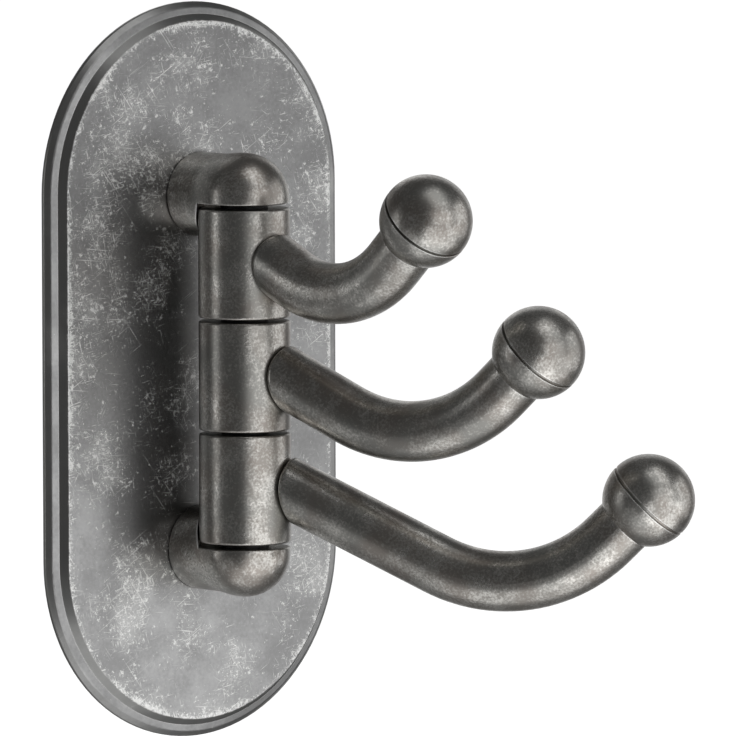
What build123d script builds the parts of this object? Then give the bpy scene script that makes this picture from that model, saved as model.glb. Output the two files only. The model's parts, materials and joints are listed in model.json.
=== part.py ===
from build123d import *
from math import cos, radians, sin, sqrt
import os

# Swivel wall hook: an obround backplate, two posts and three hooks that turn about one upright pin.
# Millimetres. The wall is the plane Y = 0 and the hook stands out along -Y, with +Z up and +X to the
# right of a person who faces it. The origin is on the wall, behind the middle of the backplate.

# Backplate: a thin obround casting, hollow behind. Its rim rises by a steep bevel and a gentle land to a
# step, and the step leads up to a flat field
plate_height = 127.0
plate_width = 64.0
rim_side_height = 1.0
rim_back_round = 0.5
rim_front_round = 0.4
bevel_width = 0.9
bevel_height = 1.85
bevel_round = 0.8
land_width = 1.2
land_height = 2.15
step_width = 1.1
field_height = 3.5
field_edge_round = 0.3
face_wall = 1.25
rim_wall = 4.0

# Pivot column: three barrels stacked on a pin between the two posts
pivot_reach = 15.7
barrel_diameter = 15.8
barrel_height = 18.8
barrel_edge_round = 0.45
pin_diameter = 5.0
pin_running_clearance = 0.05
pin_seat_clearance = 0.02
pin_seat_depth = 5.0
pin_end_space = 0.3
pin_chamfer = 0.4

# Washers that keep the barrels apart: thin ones between barrels, thicker ones against the posts
washer_diameter = 8.2
washer_bore_clearance = 0.12
barrel_washer_thickness = 0.5
post_washer_thickness = 0.75
end_float = 0.05

# Posts: a round neck on the backplate that swells into a domed head over the end of the column
neck_diameter = 14.6
head_inset = 0.15
neck_rise = 0.9
swell_length = 6.0
relief_clearance = 0.35
post_edge_round = 0.3
neck_seat_chamfer = 0.25

# Shoulder screws: they hold the posts from behind, and their heads hang in the wall bracket
screw_rise = 1.6
screw_thread_diameter = 4.0
screw_thread_length = 7.5
screw_thread_clearance = 0.02
screw_end_space = 0.8
screw_hole_clearance = 0.1
screw_neck_diameter = 5.0
screw_head_diameter = 8.0
screw_head_thickness = 0.95
screw_slot_width = 1.0
screw_slot_depth = 0.5

# Wall bracket: a pressed strip with a middle pad and two end feet on the wall, and two raised bridges
# with keyholes between them
bracket_width = 20.0
bracket_thickness = 1.0
bridge_rise = 1.15
bridge_below_seat = 5.5
bridge_above_entry = 5.5
end_foot_length = 4.0
joggle_run = 1.5
joggle_round = 0.4
bracket_corner_round = 3.0
keyhole_slot_clearance = 0.1
keyhole_travel = 8.0
keyhole_entry_clearance = 0.4
wall_screw_spacing = 30.0
wall_screw_hole_diameter = 4.0
wall_screw_countersink_diameter = 5.2

# Hooks: a round rod that slopes down out of its barrel, bends upwards and ends in a ball
rod_diameter = 10.4
root_slope_angle = 26.2
tip_rise_angle = 44.6
rod_axis_rise = 3.8
root_edge_round = 0.8
spigot_diameter = 6.0
spigot_inset = 5.6
spigot_length = 5.0
upper_straight = 13.2
middle_straight = 22.0
lower_straight = 37.5
upper_bend_radius = 21.1
middle_bend_radius = 25.6
lower_bend_radius = 26.1
upper_tip_run = 10.6
middle_tip_run = 10.0
lower_tip_run = 9.7
upper_swing_angle = 6.3
middle_swing_angle = 24.0
lower_swing_angle = 39.2
braze_clearance = 0.02

# Balls: turned knobs with a fine groove round the middle, screwed on to the rods' studs
ball_diameter = 15.9
ball_groove_width = 0.45
ball_groove_depth = 0.45
groove_lip_round = 0.12
stud_diameter = 6.0
stud_length = 6.0
stud_clearance = 0.02
stud_end_space = 0.5

# Worked out from the sizes above
end_arc_z = plate_height / 2 - plate_width / 2
field_back = field_height - face_wall
barrel_radius = barrel_diameter / 2
head_radius = barrel_radius - head_inset
pin_radius = pin_diameter / 2
rod_radius = rod_diameter / 2
ball_radius = ball_diameter / 2
barrel_gap = barrel_washer_thickness + end_float
post_gap = post_washer_thickness + end_float
pitch = barrel_height + barrel_gap
post_face_z = pitch + barrel_height / 2 + post_gap
neck_z = post_face_z + neck_rise
screw_z = neck_z + screw_rise
pin_half_length = post_face_z + pin_seat_depth
ball_seat = sqrt(ball_radius**2 - rod_radius**2)
groove_side = ball_groove_width / 2
groove_lip_radius = sqrt(ball_radius**2 - groove_side**2)
groove_lips = [(-groove_side, groove_lip_radius), (groove_side, groove_lip_radius)]

# Name, step above the middle of the column, swing to the right at rest, straight run, bend, run to the ball
hooks = [
    ("upper", 1, upper_swing_angle, upper_straight, upper_bend_radius, upper_tip_run),
    ("middle", 0, middle_swing_angle, middle_straight, middle_bend_radius, middle_tip_run),
    ("lower", -1, lower_swing_angle, lower_straight, lower_bend_radius, lower_tip_run),
]
post_sides = [("upper", 1), ("lower", -1)]

os.makedirs("parts", exist_ok=True)


def save(piece, name):
    """Label a finished piece and write it under its name."""
    piece.part.label = name
    export_step(piece.part, f"parts/{name}.step")


# Half of the backplate's section: across from the middle, and out from the wall
half_width = plate_width / 2
cavity_edge = half_width - rim_wall
bevel_edge = half_width - bevel_width
land_edge = bevel_edge - land_width
field_edge = land_edge - step_width
rim_corners = [
    ((half_width, 0), rim_back_round),
    ((half_width, rim_side_height), rim_front_round),
    ((bevel_edge, bevel_height), bevel_round),
    ((field_edge, field_height), field_edge_round),
]
with BuildSketch() as half_section:
    with BuildLine():
        Polyline((0, field_back), (cavity_edge, field_back), (cavity_edge, 0), (half_width, 0))
        Polyline((half_width, 0), (half_width, rim_side_height), (bevel_edge, bevel_height))
        Polyline((bevel_edge, bevel_height), (land_edge, land_height), (field_edge, field_height))
        Polyline((field_edge, field_height), (0, field_height), (0, field_back))
    make_face()
    for corner, corner_round in rim_corners:
        fillet(half_section.vertices().sort_by_distance(corner)[0], radius=corner_round)

# Backplate: the section is run straight between the two end arcs and turned about each of them
with BuildPart() as backplate:
    with BuildSketch(Plane(origin=(0, 0, end_arc_z), x_dir=(1, 0, 0), z_dir=(0, 0, -1))) as straight_section:
        add(half_section.sketch)
        mirror(about=Plane.YZ)
    extrude(amount=2 * end_arc_z)
    for end in (1, -1):
        end_centre = (0, 0, end * end_arc_z)
        with BuildSketch(Plane(origin=end_centre, x_dir=(1, 0, 0), z_dir=(0, 0, -1))) as end_section:
            add(half_section.sketch)
        revolve(axis=Axis(end_centre, (0, -end, 0)), revolution_arc=180)
    with BuildSketch(Plane.XZ.offset(field_back)) as screw_holes:
        with Locations((0, screw_z), (0, -screw_z)):
            Circle(screw_thread_diameter / 2 + screw_hole_clearance)
    extrude(amount=face_wall, mode=Mode.SUBTRACT)
save(backplate, "backplate")


# Posts: one turned form, cut flat where the column meets it and hollowed round the barrel behind it
for name, side in post_sides:
    axis_plane = Plane(origin=(0, 0, side * neck_z), x_dir=(0, -1, 0), z_dir=(-side, 0, 0))
    face_plane = Plane(origin=(0, -pivot_reach, side * post_face_z), z_dir=(0, 0, -side))
    with BuildPart() as post:
        with BuildSketch(axis_plane) as post_profile:
            with BuildLine():
                neck_radius = neck_diameter / 2
                seat_edge = (field_height, neck_radius - neck_seat_chamfer)
                neck_start = (field_height + neck_seat_chamfer, neck_radius)
                swell_start = (pivot_reach - swell_length, neck_radius)
                head_top = (pivot_reach, head_radius)
                Polyline((field_height, 0), seat_edge, neck_start, swell_start)
                Spline(swell_start, head_top, tangents=[(1, 0), (1, 0)])
                CenterArc((pivot_reach, 0), head_radius, 0, 90)
                Line((pivot_reach + head_radius, 0), (field_height, 0))
            make_face()
        revolve(axis=Axis((0, 0, side * neck_z), (0, 1, 0)))
        with BuildSketch(face_plane) as barrel_relief:
            Circle(barrel_radius + relief_clearance)
        extrude(amount=2 * neck_diameter, mode=Mode.SUBTRACT)
        column_face = post.faces().filter_by(Axis.Z)[0]
        fillet(column_face.edges().sort_by(Axis.Y)[:-1], radius=post_edge_round)
        with BuildSketch(face_plane) as pin_seat:
            Circle(pin_radius + pin_seat_clearance)
        extrude(amount=-(pin_seat_depth + pin_end_space), mode=Mode.SUBTRACT)
        with BuildSketch(Plane.XZ.offset(field_height)) as screw_seat:
            with Locations((0, side * screw_z)):
                Circle(screw_thread_diameter / 2 + screw_thread_clearance)
        extrude(amount=screw_thread_length - face_wall + screw_end_space, mode=Mode.SUBTRACT)
    save(post, f"{name}_post")


# Shoulder screws: thread into the post, shoulder through the keyhole slot, slotted head behind it
for name, side in post_sides:
    neck_front = field_back
    head_front = bridge_rise - end_float
    head_back = head_front - screw_head_thickness
    screw_plane = Plane(origin=(0, 0, side * screw_z), x_dir=(0, -1, 0), z_dir=(side, 0, 0))
    with BuildPart() as screw:
        with BuildSketch(screw_plane) as screw_profile:
            Polygon(
                (head_back, 0),
                (head_back, screw_head_diameter / 2),
                (head_front, screw_head_diameter / 2),
                (head_front, screw_neck_diameter / 2),
                (neck_front, screw_neck_diameter / 2),
                (neck_front, screw_thread_diameter / 2),
                (neck_front + screw_thread_length, screw_thread_diameter / 2),
                (neck_front + screw_thread_length, 0),
                align=None,
            )
        revolve(axis=Axis((0, 0, side * screw_z), (0, 1, 0)))
        with BuildSketch(Plane.XZ.offset(head_back)) as driver_slot:
            with Locations((0, side * screw_z)):
                Rectangle(screw_head_diameter, screw_slot_width)
        extrude(amount=screw_slot_depth, mode=Mode.SUBTRACT)
        chamfer(screw.faces().sort_by(Axis.Y)[0].edges(), length=pin_chamfer)
    save(screw, f"{name}_post_screw")


# Wall bracket: the joggled strip seen from the side, then its keyholes and countersunk screw holes
seat_zs = (-screw_z, screw_z)
lower_foot_z = -screw_z - bridge_below_seat - joggle_run
upper_foot_z = screw_z + keyhole_travel + bridge_above_entry + joggle_run
middle_pad_z = (upper_foot_z + lower_foot_z) / 2
bracket_steps = [(0, lower_foot_z - end_foot_length)]
for seat_z in seat_zs:
    bridge_bottom = seat_z - bridge_below_seat
    bridge_top = seat_z + keyhole_travel + bridge_above_entry
    bracket_steps += [
        (0, bridge_bottom - joggle_run),
        (-bridge_rise, bridge_bottom),
        (-bridge_rise, bridge_top),
        (0, bridge_top + joggle_run),
    ]
bracket_steps.append((0, upper_foot_z + end_foot_length))
with BuildPart() as wall_bracket:
    with BuildSketch(Plane.YZ) as strip:
        with BuildLine():
            front_steps = [(out - bracket_thickness, up) for out, up in bracket_steps]
            Polyline(*bracket_steps, *reversed(front_steps), close=True)
        make_face()
        joggle_corners = strip.vertices().filter_by_position(
            Axis.Y, lower_foot_z - joggle_run, upper_foot_z + joggle_run
        )
        fillet(joggle_corners, radius=joggle_round)
    extrude(amount=bracket_width / 2, both=True)
    strip_ends = wall_bracket.edges().filter_by(Axis.Y).group_by(Axis.Z)
    fillet(strip_ends[0] + strip_ends[-1], radius=bracket_corner_round)
    with BuildSketch(Plane.XZ) as keyholes:
        for seat_z in seat_zs:
            with Locations((0, seat_z)):
                Circle(screw_neck_diameter / 2 + keyhole_slot_clearance)
            with Locations((0, seat_z + keyhole_travel / 2)):
                Rectangle(screw_neck_diameter + 2 * keyhole_slot_clearance, keyhole_travel)
            with Locations((0, seat_z + keyhole_travel)):
                Circle(screw_head_diameter / 2 + keyhole_entry_clearance)
    extrude(amount=field_height, mode=Mode.SUBTRACT)
    with Locations(
        Plane(origin=(0, -bracket_thickness, middle_pad_z + wall_screw_spacing / 2), z_dir=(0, -1, 0)),
        Plane(origin=(0, -bracket_thickness, middle_pad_z - wall_screw_spacing / 2), z_dir=(0, -1, 0)),
    ):
        CounterSinkHole(
            radius=wall_screw_hole_diameter / 2,
            counter_sink_radius=wall_screw_countersink_diameter / 2,
            depth=2 * bracket_thickness,
        )
save(wall_bracket, "wall_bracket")


# Pivot pin: a plain round pin held in the blind seats of the two posts
with BuildPart() as pivot_pin:
    with BuildSketch(Plane(origin=(0, -pivot_reach, -pin_half_length), z_dir=(0, 0, 1))) as pin_section:
        Circle(pin_radius)
    extrude(amount=2 * pin_half_length)
    chamfer(pivot_pin.edges().filter_by(GeomType.CIRCLE), length=pin_chamfer)
save(pivot_pin, "pivot_pin")


# Washers: each in the middle of its gap, with half of the end float on either side
washer_gaps = [
    ("top_washer", post_face_z - post_gap / 2, post_washer_thickness),
    ("upper_gap_washer", pitch / 2, barrel_washer_thickness),
    ("lower_gap_washer", -pitch / 2, barrel_washer_thickness),
    ("bottom_washer", -post_face_z + post_gap / 2, post_washer_thickness),
]
for name, gap_z, thickness in washer_gaps:
    with BuildPart() as washer:
        with BuildSketch(Plane(origin=(0, -pivot_reach, gap_z - thickness / 2), z_dir=(0, 0, 1))) as ring:
            Circle(washer_diameter / 2)
            Circle(pin_radius + washer_bore_clearance, mode=Mode.SUBTRACT)
        extrude(amount=thickness)
    save(washer, name)


# Hooks: barrel, rod and ball of each share one upright plane through the pin, turned to its swing
for name, step, swing, straight, bend_radius, tip_run in hooks:
    outward = Vector(sin(radians(swing)), -cos(radians(swing)), 0)
    barrel_middle = Vector(0, -pivot_reach, step * pitch)
    level_plane = Plane(origin=barrel_middle, z_dir=(0, 0, 1))
    hook_plane = Plane(origin=barrel_middle, x_dir=outward, z_dir=outward.cross(Vector(0, 0, 1)))
    slope = radians(root_slope_angle)
    rise = radians(tip_rise_angle)
    root_start = (spigot_inset * cos(slope), rod_axis_rise - spigot_inset * sin(slope))
    bend_start = (straight * cos(slope), rod_axis_rise - straight * sin(slope))
    bend_centre = (bend_start[0] + bend_radius * sin(slope), bend_start[1] + bend_radius * cos(slope))
    bend_end = (bend_centre[0] + bend_radius * sin(rise), bend_centre[1] - bend_radius * cos(rise))
    ball_centre = (bend_end[0] + tip_run * cos(rise), bend_end[1] + tip_run * sin(rise))
    rod_end = (ball_centre[0] - ball_seat * cos(rise), ball_centre[1] - ball_seat * sin(rise))
    root_dir = outward * cos(slope) - Vector(0, 0, sin(slope))
    tip_dir = outward * cos(rise) + Vector(0, 0, sin(rise))
    root_plane = Plane(origin=hook_plane.from_local_coords(root_start), z_dir=root_dir)
    ball_plane = Plane(origin=hook_plane.from_local_coords(ball_centre), z_dir=tip_dir)
    turning_plane = Plane(origin=ball_plane.origin, x_dir=tip_dir, z_dir=hook_plane.z_dir)

    with BuildPart() as barrel:
        with BuildSketch(level_plane) as barrel_section:
            Circle(barrel_radius)
        extrude(amount=barrel_height / 2, both=True)
        fillet(barrel.edges().filter_by(GeomType.CIRCLE), radius=barrel_edge_round)
        with BuildSketch(level_plane) as bore:
            Circle(pin_radius + pin_running_clearance)
        extrude(amount=barrel_height, both=True, mode=Mode.SUBTRACT)
        with BuildSketch(root_plane) as spigot_hole:
            Circle(spigot_diameter / 2 + braze_clearance)
        extrude(amount=barrel_diameter, mode=Mode.SUBTRACT)
    save(barrel, f"{name}_barrel")

    with BuildPart() as rod:
        with BuildLine(hook_plane) as spine:
            Line(root_start, bend_start)
            CenterArc(bend_centre, bend_radius, -90 - root_slope_angle, root_slope_angle + tip_rise_angle)
            Line(bend_end, rod_end)
        with BuildSketch(root_plane) as rod_section:
            Circle(rod_radius)
        sweep(path=spine.wire())
        with BuildSketch(level_plane) as saddle:
            Circle(barrel_radius + braze_clearance)
        extrude(amount=barrel_height, both=True, mode=Mode.SUBTRACT)
        saddle_face = rod.faces().sort_by_distance(barrel_middle)[0]
        fillet(saddle_face.edges(), radius=root_edge_round)
        with BuildSketch(root_plane) as spigot:
            Circle(spigot_diameter / 2)
        extrude(amount=spigot_length)
        with BuildSketch(ball_plane.offset(-ball_seat)) as stud:
            Circle(stud_diameter / 2)
        extrude(amount=stud_length)
    save(rod, f"{name}_rod")

    with BuildPart() as ball:
        with BuildSketch(turning_plane) as ball_profile:
            Circle(ball_radius)
            with Locations((0, ball_radius)):
                Rectangle(ball_groove_width, 2 * ball_groove_depth, mode=Mode.SUBTRACT)
            with Locations((-ball_seat, 0)):
                Rectangle(ball_radius, ball_diameter, align=(Align.MAX, Align.CENTER), mode=Mode.SUBTRACT)
            Rectangle(ball_diameter, ball_radius, align=(Align.CENTER, Align.MAX), mode=Mode.SUBTRACT)
            for lip in groove_lips:
                fillet(ball_profile.vertices().sort_by_distance(lip)[0], radius=groove_lip_round)
        revolve(axis=Axis(ball_plane.origin, tip_dir))
        with BuildSketch(ball_plane.offset(-ball_seat)) as stud_hole:
            Circle(stud_diameter / 2 + stud_clearance)
        extrude(amount=stud_length + stud_end_space, mode=Mode.SUBTRACT)
    save(ball, f"{name}_ball")
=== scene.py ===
import json
from math import cos, pi, radians, sin

import bpy
from bpy.props import FloatProperty, PointerProperty, StringProperty
from bpy.types import Operator, Panel, PropertyGroup
from mathutils import Matrix, Vector


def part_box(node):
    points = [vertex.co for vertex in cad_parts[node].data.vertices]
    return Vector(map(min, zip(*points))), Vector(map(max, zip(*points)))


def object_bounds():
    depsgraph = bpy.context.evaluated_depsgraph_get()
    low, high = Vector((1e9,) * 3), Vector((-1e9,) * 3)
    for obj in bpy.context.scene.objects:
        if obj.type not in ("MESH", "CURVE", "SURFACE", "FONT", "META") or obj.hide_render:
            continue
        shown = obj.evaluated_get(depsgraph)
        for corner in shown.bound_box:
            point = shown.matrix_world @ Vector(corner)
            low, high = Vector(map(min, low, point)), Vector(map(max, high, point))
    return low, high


bl_info = {
    "name": "Swivel Wall Hook",
    "version": (1, 0, 0),
    "blender": (4, 5, 0),
    "location": "View3D > Sidebar > Swivel Hook",
    "description": "Dresses the packed swivel wall hook in pewter, steel and nylon, and sets its studio",
    "category": "Object",
}

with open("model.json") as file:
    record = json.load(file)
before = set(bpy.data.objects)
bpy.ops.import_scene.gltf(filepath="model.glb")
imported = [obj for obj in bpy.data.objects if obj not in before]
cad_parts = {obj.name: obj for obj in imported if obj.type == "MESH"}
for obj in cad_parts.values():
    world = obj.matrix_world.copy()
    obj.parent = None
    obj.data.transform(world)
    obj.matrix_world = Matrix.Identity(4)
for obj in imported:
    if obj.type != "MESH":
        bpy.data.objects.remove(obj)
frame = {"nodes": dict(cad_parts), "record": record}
CAD_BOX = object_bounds()
MM = 0.001
HOOKS = ("upper", "middle", "lower")


# Colours and materials

def linear(colour):
    """The linear colour of an sRGB hex value such as 8c8a85."""
    shares = [int(colour[i:i + 2], 16) / 255 for i in (0, 2, 4)]
    return [s / 12.92 if s <= 0.04045 else ((s + 0.055) / 1.055) ** 2.4 for s in shares] + [1.0]


def add_node(tree, kind, inputs=None, **settings):
    """Add a node, set its settings and fill its inputs: a value is set, a socket is linked, and a node is
    linked by its first output."""
    node = tree.nodes.new(kind)
    for setting, value in settings.items():
        setattr(node, setting, value)
    for key, value in (inputs or {}).items():
        if isinstance(value, bpy.types.Node):
            value = value.outputs[0]
        if isinstance(value, bpy.types.NodeSocket):
            tree.links.new(value, node.inputs[key])
        else:
            node.inputs[key].default_value = value
    return node


def new_material(name):
    """An empty node material, its tree, and the object's own coordinates."""
    material = bpy.data.materials.new(name)
    material.use_nodes = True
    tree = material.node_tree
    tree.nodes.clear()
    coords = add_node(tree, "ShaderNodeTexCoord").outputs["Object"]
    return material, tree, coords


def per_metre(size_mm):
    """The scale at which a pattern repeats once in so many millimetres."""
    return 1 / (size_mm * MM)


# How wide an edge wears pale, how far a corner or a nearby part reaches to keep the film dark, as oxide and
# as painted shade, and the samples that find them
EDGE_MM = 0.45
OXIDE_SHADE_MM = 0.7
EDGE_SAMPLES = 6


def edge_and_oxide_shade(tree):
    """How far a point lies on a proud edge, and how far it is closed in by hollows or by other parts, both
    from 0 to 1. The second keeps the dark film there: partly oxide, partly painted shade.
    """
    rounded = add_node(tree, "ShaderNodeBevel", {"Radius": EDGE_MM * MM}, samples=EDGE_SAMPLES)
    surface = add_node(tree, "ShaderNodeNewGeometry").outputs["Normal"]
    same = add_node(tree, "ShaderNodeVectorMath", {0: rounded, 1: surface}, operation="DOT_PRODUCT")
    bent = add_node(tree, "ShaderNodeMapRange", {
        "Value": same.outputs["Value"], "From Min": 0.999, "From Max": 0.90,
    }, interpolation_type="SMOOTHSTEP")
    openness = add_node(tree, "ShaderNodeAmbientOcclusion", {
        "Distance": OXIDE_SHADE_MM * MM,
    }, samples=EDGE_SAMPLES)
    # Painted shade, partly real oxide: the film is kept dark where ambient occlusion finds hollows or other
    # parts close by
    oxide_and_shade = add_node(tree, "ShaderNodeMapRange", {
        "Value": openness.outputs["AO"], "From Min": 0.95, "From Max": 0.45,
    }, interpolation_type="SMOOTHSTEP")
    clear = add_node(tree, "ShaderNodeMapRange", {
        "Value": openness.outputs["AO"], "From Min": 0.80, "From Max": 0.97,
    }, interpolation_type="SMOOTHSTEP")
    proud = add_node(tree, "ShaderNodeMath", {0: bent, 1: clear}, operation="MULTIPLY")
    return proud, oxide_and_shade


def rubbed_film(tree, coords, cloud_mm, grain_mm, grain_share, thick, thin):
    """The mottle of an oxide film, clouds with a fine grain over them, how far the film is rubbed through,
    and how proud an edge is. The film is whole in hollows, next to other parts and where the mottle is at
    thick, and it is rubbed through on proud edges and where the mottle is at thin. Keeping it whole in
    hollows and next to other parts is partly oxide and partly painted shade."""
    cloud = add_node(tree, "ShaderNodeTexNoise", {
        "Vector": coords, "Scale": per_metre(cloud_mm), "Detail": 3.0, "Roughness": 0.55,
    })
    grain = add_node(tree, "ShaderNodeTexNoise", {
        "Vector": coords, "Scale": per_metre(grain_mm), "Detail": 2.0, "Roughness": 0.6,
    })
    mottle = add_node(tree, "ShaderNodeMix", {"Factor": grain_share, "A": cloud, "B": grain})
    proud, oxide_and_shade = edge_and_oxide_shade(tree)
    patches = add_node(tree, "ShaderNodeMapRange", {
        "Value": mottle, "From Min": thick, "From Max": thin,
    }, interpolation_type="SMOOTHSTEP")
    rubbed = add_node(tree, "ShaderNodeMath", {0: patches, 1: proud}, operation="MAXIMUM")
    # Painted shade, partly oxide: the film stays whole, and dark, in hollows and next to other parts
    rubbed = add_node(tree, "ShaderNodeMath", {0: rubbed, 1: oxide_and_shade}, operation="SUBTRACT", use_clamp=True)
    return mottle, rubbed, proud


# The size of the warmer and cooler patches of film, and how uneven the pewter and the plate are
WARMTH_MM = 9.0
PEWTER_RELIEF_MM = 0.055
PLATE_RELIEF_MM = 0.02


def aged_pewter(colours):
    """Cast zinc, plated, darkened and tumbled. A dark oxide film lies over the plating, in warmer and cooler
    patches, and is rubbed through in fine pale grains, so that its highlights break up at their edges, its
    arrises are bright and its corners stay dark. The dark corners, and the dark film next to other parts,
    are partly oxide and partly painted shade."""
    material, tree, coords = new_material("aged_pewter_tumbled")
    mottle, rubbed, proud = rubbed_film(
        tree, coords, cloud_mm=5.0, grain_mm=0.42, grain_share=0.5, thick=0.43, thin=0.66,
    )
    drift = add_node(tree, "ShaderNodeTexNoise", {
        "Vector": coords, "Scale": per_metre(WARMTH_MM), "Detail": 2.0,
    })
    warmth = add_node(tree, "ShaderNodeMapRange", {"Value": drift, "From Min": 0.40, "From Max": 0.60})
    film = add_node(tree, "ShaderNodeMix", {
        0: warmth, 6: linear(colours.film), 7: linear(colours.warm_film),
    }, data_type="RGBA").outputs[2]
    plating = add_node(tree, "ShaderNodeMix", {
        0: rubbed, 6: film, 7: linear(colours.rubbed),
    }, data_type="RGBA").outputs[2]
    colour = add_node(tree, "ShaderNodeMix", {
        0: proud, 6: plating, 7: linear(colours.worn),
    }, data_type="RGBA").outputs[2]
    roughness = add_node(tree, "ShaderNodeMapRange", {"Value": rubbed, "To Min": 0.33, "To Max": 0.26})
    bump = add_node(tree, "ShaderNodeBump", {
        "Height": mottle, "Strength": 0.7, "Distance": PEWTER_RELIEF_MM * MM,
    })
    shader = add_node(tree, "ShaderNodeBsdfPrincipled", {
        "Base Color": colour, "Metallic": 1.0, "Roughness": roughness, "Normal": bump,
    })
    add_node(tree, "ShaderNodeOutputMaterial", {"Surface": shader})
    return material


def aged_pewter_plate(colours):
    """The same plating on the flat casting, brushed more evenly. Pale specks and short scratches that run
    every way gather in clusters, with calmer metal between them, and the flat field is worn at its edge. The
    sides of the rim and step are painted paler, standing in for the light that falls on them, and hollows
    keep the dark film, partly as oxide and partly as painted shade."""
    material, tree, coords = new_material("aged_pewter_scuffed")
    mottle, rubbed, proud = rubbed_film(
        tree, coords, cloud_mm=8.0, grain_mm=0.7, grain_share=0.35, thick=0.32, thin=0.68,
    )
    scuffs = scuff_marks(tree, coords)
    worn = add_node(tree, "ShaderNodeMath", {0: scuffs, 1: proud}, operation="MAXIMUM")
    plating = add_node(tree, "ShaderNodeMix", {
        0: rubbed, 6: linear(colours.plate_film), 7: linear(colours.plate_rubbed),
    }, data_type="RGBA").outputs[2]
    # Painted light: faces turned away from the front and back, the sides of the rim and step, get a paler
    # colour that stands in for the light they catch
    facing = add_node(tree, "ShaderNodeSeparateXYZ", {
        0: add_node(tree, "ShaderNodeNewGeometry").outputs["True Normal"],
    })
    rim_light_mask = add_node(tree, "ShaderNodeMath", {0: facing.outputs["Y"]}, operation="ABSOLUTE")
    rim_light_mask = add_node(tree, "ShaderNodeMapRange", {"Value": rim_light_mask, "From Min": 0.9, "From Max": 0.5})
    plating = add_node(tree, "ShaderNodeMix", {
        0: rim_light_mask, 6: plating, 7: linear(colours.rim),
    }, data_type="RGBA").outputs[2]
    colour = add_node(tree, "ShaderNodeMix", {
        0: worn, 6: plating, 7: linear(colours.worn),
    }, data_type="RGBA").outputs[2]
    smooth = add_node(tree, "ShaderNodeMapRange", {"Value": rubbed, "To Min": 0.35, "To Max": 0.28})
    roughness = add_node(tree, "ShaderNodeMath", {
        0: scuffs, 1: SCUFF_ROUGHNESS, 2: smooth,
    }, operation="MULTIPLY_ADD")
    height = add_node(tree, "ShaderNodeMath", {
        0: scuffs, 1: SCUFF_HEIGHT, 2: mottle,
    }, operation="MULTIPLY_ADD")
    bump = add_node(tree, "ShaderNodeBump", {
        "Height": height, "Strength": 0.5, "Distance": PLATE_RELIEF_MM * MM,
    })
    shader = add_node(tree, "ShaderNodeBsdfPrincipled", {
        "Base Color": colour, "Metallic": 1.0, "Roughness": roughness, "Normal": bump,
    })
    add_node(tree, "ShaderNodeOutputMaterial", {"Surface": shader})
    return material


# Real scratches are finer than the widths given here, which are as coarse as they need to be to show
SCRATCHES = [
    # turn in degrees, width and length in mm, the noise level at which a mark starts, and how pale it is
    (14, 0.15, 2.6, 0.68, 0.95),
    (57, 0.14, 3.4, 0.69, 0.90),
    (101, 0.15, 2.4, 0.68, 0.95),
    (149, 0.14, 4.0, 0.69, 0.90),
    (37, 0.16, 9.0, 0.70, 0.90),
    (84, 0.15, 6.0, 0.70, 0.85),
    (122, 0.16, 8.0, 0.70, 0.90),
]
SPECKS = [
    # size in mm, detail, the noise level at which a speck starts, and how pale it is
    (0.5, 2.0, 0.64, 1.0),
    (1.1, 4.0, 0.61, 0.80),
]
# How much the noise rises from where a mark starts to where it is at its palest
SPECK_RISE = 0.08
SCRATCH_RISE = 0.10
# The shift of each set of scratches from the one before, so that no two sets read the noise at one place
SET_RIGHT_MM = 13.0
SET_UP_MM = 27.0
# The size of a cluster of marks, and how pale the haze of marks too fine to see is in its middle
CLUSTER_MM = 11.0
HAZE = 0.20
# What is added to the noise in the worn band inside the field's edge, and on the rim beyond it
EDGE_WEAR = 0.09
RIM_CALM = -0.12
# The inset of the flat field from the plate's side, the width of the worn band inside the field's edge, and
# the width in which the wear ends beyond that edge
FIELD_INSET_MM = 3.2
WORN_BAND_MM = 1.6
WEAR_END_MM = 0.3
# What a mark at its palest adds to the roughness and to the height of the mottle
SCUFF_ROUGHNESS = 0.2
SCUFF_HEIGHT = -0.5


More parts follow.
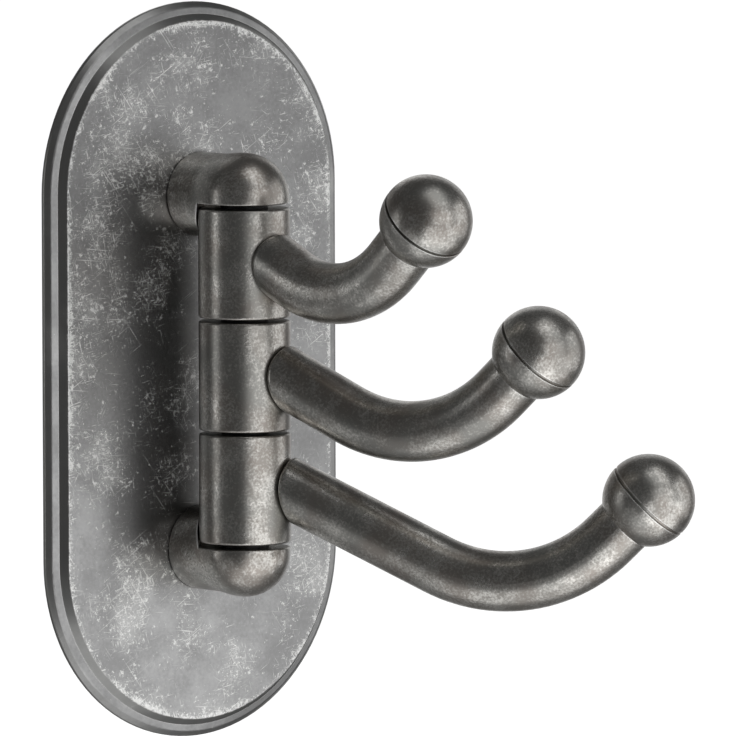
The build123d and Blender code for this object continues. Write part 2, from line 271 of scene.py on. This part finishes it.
def scuff_marks(tree, coords):
    """Pale specks and short fine scratches. Each set of scratches is noise that is first turned to its own
    direction and then stretched along it. All are denser inside the clusters and at the field's edge."""
    cluster = add_node(tree, "ShaderNodeTexNoise", {
        "Vector": coords, "Scale": per_metre(CLUSTER_MM), "Detail": 3.0, "Roughness": 0.6,
    })
    gathered = add_node(tree, "ShaderNodeMapRange", {
        "Value": cluster, "From Min": 0.34, "From Max": 0.66, "To Min": -0.04, "To Max": 0.065,
    }, interpolation_type="SMOOTHSTEP")
    near_edge, beyond_edge = field_edge(tree, coords)
    gathered = add_node(tree, "ShaderNodeMath", {
        0: near_edge, 1: EDGE_WEAR, 2: gathered,
    }, operation="MULTIPLY_ADD")
    gathered = add_node(tree, "ShaderNodeMath", {
        0: beyond_edge, 1: RIM_CALM, 2: gathered,
    }, operation="MULTIPLY_ADD")
    marks = add_node(tree, "ShaderNodeMapRange", {
        "Value": cluster, "From Min": 0.50, "From Max": 0.75, "To Max": HAZE,
    }, interpolation_type="SMOOTHSTEP")
    for size, detail, level, paleness in SPECKS:
        speck = add_node(tree, "ShaderNodeTexNoise", {
            "Vector": coords, "Scale": per_metre(size), "Detail": detail, "Roughness": 0.72,
        })
        speck = add_node(tree, "ShaderNodeMath", {0: speck, 1: gathered})
        speck = add_node(tree, "ShaderNodeMapRange", {
            "Value": speck, "From Min": level, "From Max": level + SPECK_RISE, "To Max": paleness,
        }, interpolation_type="SMOOTHSTEP")
        marks = add_node(tree, "ShaderNodeMath", {0: marks, 1: speck}, operation="MAXIMUM")
    for index, (turn, width, length, level, paleness) in enumerate(SCRATCHES):
        turned = add_node(tree, "ShaderNodeMapping", {
            "Vector": coords,
            "Location": (index * SET_RIGHT_MM * MM, 0.0, index * SET_UP_MM * MM),
            "Rotation": (0.0, radians(turn), 0.0),
        })
        drawn_out = add_node(tree, "ShaderNodeMapping", {
            "Vector": turned, "Scale": (per_metre(width), per_metre(length), per_metre(length)),
        })
        streak = add_node(tree, "ShaderNodeTexNoise", {"Vector": drawn_out, "Scale": 1.0, "Detail": 2.0})
        streak = add_node(tree, "ShaderNodeMath", {0: streak, 1: gathered})
        streak = add_node(tree, "ShaderNodeMapRange", {
            "Value": streak, "From Min": level, "From Max": level + SCRATCH_RISE, "To Max": paleness,
        }, interpolation_type="SMOOTHSTEP")
        marks = add_node(tree, "ShaderNodeMath", {0: marks, 1: streak}, operation="MAXIMUM")
    return marks


def field_edge(tree, coords):
    """How close a point of the obround plate lies to the edge of its flat field, on the inside, and whether
    it lies past that edge, on the rim."""
    low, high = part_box("backplate")
    half_width = (high[0] - low[0]) / 2
    half_straight = (high[2] - low[2]) / 2 - half_width
    edge = half_width - FIELD_INSET_MM * MM
    place = add_node(tree, "ShaderNodeSeparateXYZ", {0: coords})
    up = add_node(tree, "ShaderNodeMath", {0: place.outputs["Z"]}, operation="ABSOLUTE")
    past_straight = add_node(tree, "ShaderNodeMath", {0: up, 1: half_straight}, operation="SUBTRACT")
    past_straight = add_node(tree, "ShaderNodeMath", {0: past_straight, 1: 0.0}, operation="MAXIMUM")
    across = add_node(tree, "ShaderNodeCombineXYZ", {0: place.outputs["X"], 1: past_straight})
    reach = add_node(tree, "ShaderNodeVectorMath", {0: across}, operation="LENGTH").outputs["Value"]
    near_edge = add_node(tree, "ShaderNodeMapRange", {
        "Value": reach, "From Min": edge - WORN_BAND_MM * MM, "From Max": edge,
    }, interpolation_type="SMOOTHSTEP")
    beyond_edge = add_node(tree, "ShaderNodeMapRange", {
        "Value": reach, "From Min": edge, "From Max": edge + WEAR_END_MM * MM,
    }, interpolation_type="SMOOTHSTEP")
    near_edge = add_node(tree, "ShaderNodeMath", {
        0: near_edge, 1: beyond_edge,
    }, operation="SUBTRACT", use_clamp=True)
    return near_edge, beyond_edge


# The grain of rolled steel and of a mould, and grinding rings, each drawn coarser than the real one to show
ROLLED_GRAIN_MM = 0.8
ROLLED_RELIEF_MM = 0.01
GRINDING_MM = 0.12
GRINDING_RELIEF_MM = 0.005
MOULD_GRAIN_MM = 0.3
MOULD_RELIEF_MM = 0.01


def zinc_plated_steel(colours):
    """Pressed and turned steel, bright zinc plated: pale, a little blue, with a fine rolled grain."""
    material, tree, coords = new_material("zinc_plated_steel")
    grain = add_node(tree, "ShaderNodeTexNoise", {
        "Vector": coords, "Scale": per_metre(ROLLED_GRAIN_MM), "Detail": 4.0,
    })
    colour = add_node(tree, "ShaderNodeMix", {
        0: grain, 6: linear(colours.zinc_shadow), 7: linear(colours.zinc),
    }, data_type="RGBA").outputs[2]
    roughness = add_node(tree, "ShaderNodeMapRange", {
        "Value": grain, "From Min": 0.3, "From Max": 0.7, "To Min": 0.26, "To Max": 0.38,
    })
    bump = add_node(tree, "ShaderNodeBump", {
        "Height": grain, "Strength": 0.3, "Distance": ROLLED_RELIEF_MM * MM,
    })
    shader = add_node(tree, "ShaderNodeBsdfPrincipled", {
        "Base Color": colour, "Metallic": 1.0, "Roughness": roughness, "Normal": bump,
    })
    add_node(tree, "ShaderNodeOutputMaterial", {"Surface": shader})
    return material


def ground_steel(colours):
    """A centreless-ground pin: bright steel with fine rings of grinding round it."""
    material, tree, coords = new_material("ground_steel_pin")
    along = add_node(tree, "ShaderNodeMapping", {
        "Vector": coords, "Scale": (1.0, 1.0, per_metre(GRINDING_MM)),
    })
    rings = add_node(tree, "ShaderNodeTexNoise", {"Vector": along, "Scale": 1.0, "Detail": 2.0})
    roughness = add_node(tree, "ShaderNodeMapRange", {
        "Value": rings, "From Min": 0.3, "From Max": 0.7, "To Min": 0.18, "To Max": 0.30,
    })
    bump = add_node(tree, "ShaderNodeBump", {
        "Height": rings, "Strength": 0.2, "Distance": GRINDING_RELIEF_MM * MM,
    })
    shader = add_node(tree, "ShaderNodeBsdfPrincipled", {
        "Base Color": linear(colours.pin), "Metallic": 1.0, "Roughness": roughness, "Normal": bump,
    })
    add_node(tree, "ShaderNodeOutputMaterial", {"Surface": shader})
    return material


def black_nylon(colours):
    """Moulded nylon: nearly black, with the soft satin of a mould."""
    material, tree, coords = new_material("black_nylon_moulded")
    grain = add_node(tree, "ShaderNodeTexNoise", {
        "Vector": coords, "Scale": per_metre(MOULD_GRAIN_MM), "Detail": 2.0,
    })
    roughness = add_node(tree, "ShaderNodeMapRange", {
        "Value": grain, "From Min": 0.3, "From Max": 0.7, "To Min": 0.45, "To Max": 0.60,
    })
    bump = add_node(tree, "ShaderNodeBump", {
        "Height": grain, "Strength": 0.3, "Distance": MOULD_RELIEF_MM * MM,
    })
    shader = add_node(tree, "ShaderNodeBsdfPrincipled", {
        "Base Color": linear(colours.nylon), "IOR": 1.53, "Roughness": roughness, "Normal": bump,
    })
    add_node(tree, "ShaderNodeOutputMaterial", {"Surface": shader})
    return material


PAPER_PATCH_MM = 900.0
WHITE = (1.0, 1.0, 1.0, 1.0)


def pale_paper(colours):
    """Seamless studio paper: matt, nearly white and a little uneven. Its glow stands for light from all
    round."""
    material, tree, coords = new_material("pale_floor_paper")
    shade = add_node(tree, "ShaderNodeTexNoise", {"Vector": coords, "Scale": per_metre(PAPER_PATCH_MM)})
    colour = add_node(tree, "ShaderNodeMix", {
        0: shade, 6: linear(colours.floor_shade), 7: linear(colours.floor),
    }, data_type="RGBA").outputs[2]
    shader = add_node(tree, "ShaderNodeBsdfPrincipled", {
        "Base Color": colour, "Roughness": 0.9, "Emission Color": WHITE, "Emission Strength": 0.95,
    })
    add_node(tree, "ShaderNodeOutputMaterial", {"Surface": shader})
    return material


MATERIAL_MAKERS = {
    "aged_pewter": aged_pewter,
    "aged_pewter_plate": aged_pewter_plate,
    "zinc_plated_steel": zinc_plated_steel,
    "bright_steel": ground_steel,
    "black_nylon": black_nylon,
    "floor": pale_paper,
}
made_materials = {}


def finish_for(slot):
    """The material of the floor or of one of the record's slots, made once."""
    if slot not in made_materials:
        made_materials[slot] = MATERIAL_MAKERS[slot](bpy.context.scene.hook_colours)
    return made_materials[slot]


def dress(nodes):
    """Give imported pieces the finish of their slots, and report the operator as finished."""
    slots = {part["node"]: part["material_slot"] for part in frame["record"]["subparts"]}
    for node in nodes:
        materials = frame["nodes"][node].data.materials
        materials.clear()
        materials.append(finish_for(slots[node]))
    return {"FINISHED"}


# Settings that a user would change

class HookColours(PropertyGroup):
    """Colours of the finishes, as sRGB hex values."""

    film: StringProperty(name="Oxide film", description="Dark film over the pewter", default="9d9c98")
    warm_film: StringProperty(name="Warm film", description="Browner patches of the film", default="9d9791")
    rubbed: StringProperty(name="Rubbed pewter", description="Pewter under the film", default="d3d1cc")
    plate_film: StringProperty(name="Plate film", description="Film over the backplate", default="8b8b8b")
    plate_rubbed: StringProperty(name="Rubbed plate", description="Backplate where rubbed", default="a1a1a1")
    # Painted light: the paler colour of the rim's and step's sides stands in for light that falls on them
    rim: StringProperty(name="Plate rim", description="Sides of the plate's rim and step", default="a8a8a6")
    worn: StringProperty(name="Worn metal", description="Worn edges, specks and scratches", default="f0f0ee")
    zinc: StringProperty(name="Zinc", description="Plating of the bracket and screws", default="c9ccd0")
    zinc_shadow: StringProperty(name="Dull zinc", description="Zinc between the grain", default="a9acb0")
    pin: StringProperty(name="Pin steel", description="Ground steel of the pivot pin", default="b8b8ba")
    nylon: StringProperty(name="Nylon", description="Moulded nylon of the washers", default="161616")
    floor: StringProperty(name="Floor", description="Plain pale floor", default="f4f4f4")
    floor_shade: StringProperty(name="Floor shade", description="Duller floor patches", default="f1f1f1")


class HookStudio(PropertyGroup):
    """Camera, lights and floor."""

    azimuth: FloatProperty(
        name="View azimuth", description="Turn of the camera round the hook",
        default=radians(-39.177), subtype="ANGLE", unit="ROTATION",
    )
    elevation: FloatProperty(
        name="View elevation", description="Height of the camera above level",
        default=radians(4.94), subtype="ANGLE", unit="ROTATION",
    )
    roll: FloatProperty(
        name="View roll", description="Turn of the camera about its own line of sight",
        default=radians(-0.178), subtype="ANGLE", unit="ROTATION",
    )
    distance: FloatProperty(
        name="View distance", description="From the camera to the origin along the line of sight",
        default=2500 * MM, subtype="DISTANCE", unit="LENGTH",
    )
    width: FloatProperty(
        name="View width", description="Width that the picture takes in at the hook",
        default=126.83 * MM, subtype="DISTANCE", unit="LENGTH",
    )
    shift_right: FloatProperty(
        name="View centre to the right", description="From the origin to the picture's centre, rightwards",
        default=31.06 * MM, subtype="DISTANCE", unit="LENGTH",
    )
    shift_up: FloatProperty(
        name="View centre upwards", description="From the origin to the picture's centre, upwards",
        default=0.16 * MM, subtype="DISTANCE", unit="LENGTH",
    )
    floor_radius: FloatProperty(
        name="Floor radius", description="Level part of the floor",
        default=5.0, subtype="DISTANCE", unit="LENGTH",
    )
    floor_rim: FloatProperty(
        name="Floor rim", description="Radius of the curve in which the floor's rim turns up",
        default=4.0, subtype="DISTANCE", unit="LENGTH",
    )
    floor_drop: FloatProperty(
        name="Floor drop", description="Gap between the hook and the floor",
        default=40 * MM, subtype="DISTANCE", unit="LENGTH",
    )


def heading(azimuth, elevation):
    """A unit direction. Azimuth 0 points out from the wall, and 90 degrees is to the right of a person who
    faces it."""
    level = cos(elevation)
    return Vector((sin(azimuth) * level, -cos(azimuth) * level, sin(elevation)))


# Carried-over pieces

class SWIVELHOOK_OT_backplate(Operator):
    """Finish the backplate in scuffed pewter"""

    bl_idname = "swivelhook.backplate"
    bl_label = "Backplate"

    def execute(self, context):
        return dress(["backplate"])


class SWIVELHOOK_OT_posts(Operator):
    """Finish both posts in tumbled pewter"""

    bl_idname = "swivelhook.posts"
    bl_label = "Posts"

    def execute(self, context):
        return dress(["upper_post", "lower_post"])


class SWIVELHOOK_OT_hooks(Operator):
    """Finish the barrel, rod and ball of each hook in tumbled pewter"""

    bl_idname = "swivelhook.hooks"
    bl_label = "Hooks"

    def execute(self, context):
        return dress([f"{hook}_{piece}" for hook in HOOKS for piece in ("barrel", "rod", "ball")])


class SWIVELHOOK_OT_pivot(Operator):
    """Finish the pin in ground steel and the washers of the column in black nylon"""

    bl_idname = "swivelhook.pivot"
    bl_label = "Pin and Washers"

    def execute(self, context):
        return dress(["pivot_pin", "top_washer", "upper_gap_washer", "lower_gap_washer", "bottom_washer"])


class SWIVELHOOK_OT_fixings(Operator):
    """Finish the wall bracket and the post screws in zinc-plated steel"""

    bl_idname = "swivelhook.fixings"
    bl_label = "Bracket and Screws"

    def execute(self, context):
        return dress(["wall_bracket", "upper_post_screw", "lower_post_screw"])


# Stage: floor, light and camera

SOFTBOXES = [
    # name, azimuth and elevation in degrees, distance, width and height in metres, radiance
    ("low_board", 5, -30, 0.32, 0.50, 0.30, 1.02),
    ("floor_board", -32, -67, 0.60, 0.66, 0.55, 0.60),
    ("front_box", 4, 11, 0.80, 0.70, 0.46, 1.04),
    ("right_box", 58, 2, 0.80, 0.64, 0.80, 0.80),
    ("top_strip", 9, 56, 0.80, 0.50, 0.70, 0.90),
    ("left_fill", -98, -34, 0.80, 0.85, 0.50, 0.18),
    ("left_wall", -148, -4, 0.80, 0.50, 0.50, 0.08),
    ("left_window", -116, 2, 0.70, 0.17, 0.40, 1.00),
]
WALL_RADIANCE = 0.09
# The table glows fully in directions steeper than its middle and fades out at its edge. Both are the height
# of a direction, from 0 for level to -1 for straight down
TABLE_RADIANCE = 0.24
TABLE_MIDDLE = -0.95
TABLE_EDGE = -0.25
# The backdrop is even as far from its heading as its middle reaches, and fades out at its edge, in degrees
BACKDROP_RADIANCE = 0.75
BACKDROP_AZIMUTH = 140
BACKDROP_ELEVATION = 4
BACKDROP_MIDDLE = 15
BACKDROP_EDGE = 50
FLOOR_SIDES = 64
RIM_STEPS = 6


class SWIVELHOOK_OT_stage(Operator):
    """Set the pale floor, the soft studio light and the camera"""

    bl_idname = "swivelhook.stage"
    bl_label = "Set the Stage"

    def execute(self, context):
        studio = context.scene.hook_studio
        self.floor(studio)
        self.world()
        for box in SOFTBOXES:
            self.softbox(*box)
        self.camera(context, studio)
        context.scene.view_settings.view_transform = "Standard"
        return {"FINISHED"}

    def floor(self, studio):
        """A wide pale floor below the hook, whose rim turns up all round, so that the ground is white from
        every side. It isn't mirrored in the metal, as in a light tent with dark walls."""
        level = CAD_BOX[0].z - studio.floor_drop
        bpy.ops.object.select_all(action="DESELECT")
        bpy.ops.mesh.primitive_circle_add(
            vertices=FLOOR_SIDES, radius=studio.floor_radius, fill_type="NGON", location=(0.0, 0.0, level),
        )
        floor = bpy.context.object
        floor.name = "pale_floor"
        bpy.ops.object.mode_set(mode="EDIT")
        bpy.ops.mesh.select_mode(type="EDGE")
        bpy.ops.mesh.select_all(action="SELECT")
        bpy.ops.mesh.region_to_loop()
        radius, height = studio.floor_radius, level
        for step in range(1, RIM_STEPS + 1):
            turn = step / RIM_STEPS * pi / 2
            wider = studio.floor_radius + studio.floor_rim * sin(turn)
            higher = level + studio.floor_rim * (1 - cos(turn))
            growth = wider / radius
            bpy.ops.mesh.extrude_edges_move(TRANSFORM_OT_translate={"value": (0.0, 0.0, higher - height)})
            bpy.ops.transform.resize(value=(growth, growth, 1.0), center_override=(0.0, 0.0, higher))
            radius, height = wider, higher
        bpy.ops.object.mode_set(mode="OBJECT")
        floor.data.materials.append(finish_for("floor"))
        floor.visible_glossy = False
        floor.visible_diffuse = False

    def world(self):
        """Dim walls all round, a paler table below and a pale backdrop beyond the hook, for its rims."""
        world = bpy.data.worlds.new("studio_room")
        bpy.context.scene.world = world
        world.use_nodes = True
        tree = world.node_tree
        tree.nodes.clear()
        toward = add_node(tree, "ShaderNodeTexCoord").outputs["Generated"]
        height = add_node(tree, "ShaderNodeSeparateXYZ", {0: toward}).outputs["Z"]
        table = add_node(tree, "ShaderNodeMapRange", {
            "Value": height, "From Min": TABLE_EDGE, "From Max": TABLE_MIDDLE,
            "To Min": WALL_RADIANCE, "To Max": TABLE_RADIANCE,
        }, interpolation_type="SMOOTHSTEP")
        beyond = add_node(tree, "ShaderNodeVectorMath", {
            0: toward, 1: heading(radians(BACKDROP_AZIMUTH), radians(BACKDROP_ELEVATION)),
        }, operation="DOT_PRODUCT")
        backdrop = add_node(tree, "ShaderNodeMapRange", {
            "Value": beyond.outputs["Value"],
            "From Min": cos(radians(BACKDROP_EDGE)), "From Max": cos(radians(BACKDROP_MIDDLE)),
            "To Max": BACKDROP_RADIANCE,
        }, interpolation_type="SMOOTHSTEP")
        glow = add_node(tree, "ShaderNodeMath", {0: table, 1: backdrop}, operation="MAXIMUM")
        colour = add_node(tree, "ShaderNodeCombineColor", {0: glow, 1: glow, 2: glow})
        background = add_node(tree, "ShaderNodeBackground", {"Color": colour})
        add_node(tree, "ShaderNodeOutputWorld", {"Surface": background})

    def softbox(self, name, azimuth, elevation, distance, width, height, radiance):
        """A flat soft light that faces the hook."""
        direction = heading(radians(azimuth), radians(elevation))
        light = bpy.data.lights.new(name, "AREA")
        light.shape = "RECTANGLE"
        light.size = width
        light.size_y = height
        light.energy = radiance * pi * width * height
        obj = bpy.data.objects.new(name, light)
        bpy.context.collection.objects.link(obj)
        obj.location = direction * distance
        obj.rotation_euler = direction.to_track_quat("Z", "Y").to_euler()
        obj.visible_camera = False

    def camera(self, context, studio):
        """The photograph's own viewing angle."""
        back = heading(studio.azimuth, studio.elevation)
        level_right = Vector((cos(studio.azimuth), sin(studio.azimuth), 0.0))
        level_up = back.cross(level_right)
        right = cos(studio.roll) * level_right + sin(studio.roll) * level_up
        up = cos(studio.roll) * level_up - sin(studio.roll) * level_right
        place = studio.shift_right * right + studio.shift_up * up + studio.distance * back
        camera = bpy.data.objects.new("camera", bpy.data.cameras.new("camera"))
        bpy.context.collection.objects.link(camera)
        camera.matrix_world = Matrix((
            (right.x, up.x, back.x, place.x),
            (right.y, up.y, back.y, place.y),
            (right.z, up.z, back.z, place.z),
            (0.0, 0.0, 0.0, 1.0),
        ))
        camera.data.lens = camera.data.sensor_width * studio.distance / studio.width
        camera.data.clip_start = 0.1
        camera.data.clip_end = 100.0
        context.scene.camera = camera


# Panel and registration

class SWIVELHOOK_PT_panel(Panel):
    """Lists the settings and the steps"""

    bl_idname = "SWIVELHOOK_PT_panel"
    bl_label = "Swivel Wall Hook"
    bl_space_type = "VIEW_3D"
    bl_region_type = "UI"
    bl_category = "Swivel Hook"

    def draw(self, context):
        for group in (context.scene.hook_colours, context.scene.hook_studio):
            box = self.layout.box()
            for name in group.__annotations__:
                box.prop(group, name)
        for step in STEPS:
            self.layout.operator(step.bl_idname)


STEPS = (
    SWIVELHOOK_OT_backplate,
    SWIVELHOOK_OT_posts,
    SWIVELHOOK_OT_hooks,
    SWIVELHOOK_OT_pivot,
    SWIVELHOOK_OT_fixings,
    SWIVELHOOK_OT_stage,
)
CLASSES = (HookColours, HookStudio, *STEPS, SWIVELHOOK_PT_panel)


def register():
    """Add the settings, the steps and the panel to Blender."""
    for cls in CLASSES:
        bpy.utils.register_class(cls)
    bpy.types.Scene.hook_colours = PointerProperty(type=HookColours)
    bpy.types.Scene.hook_studio = PointerProperty(type=HookStudio)


def unregister():
    """Take them away again."""
    del bpy.types.Scene.hook_studio
    del bpy.types.Scene.hook_colours
    for cls in reversed(CLASSES):
        bpy.utils.unregister_class(cls)


def main():
    """Take every step in order."""
    register()
    for step in STEPS:
        family, operator = step.bl_idname.split(".")
        getattr(getattr(bpy.ops, family), operator)()


if __name__ == "__main__":
    main()
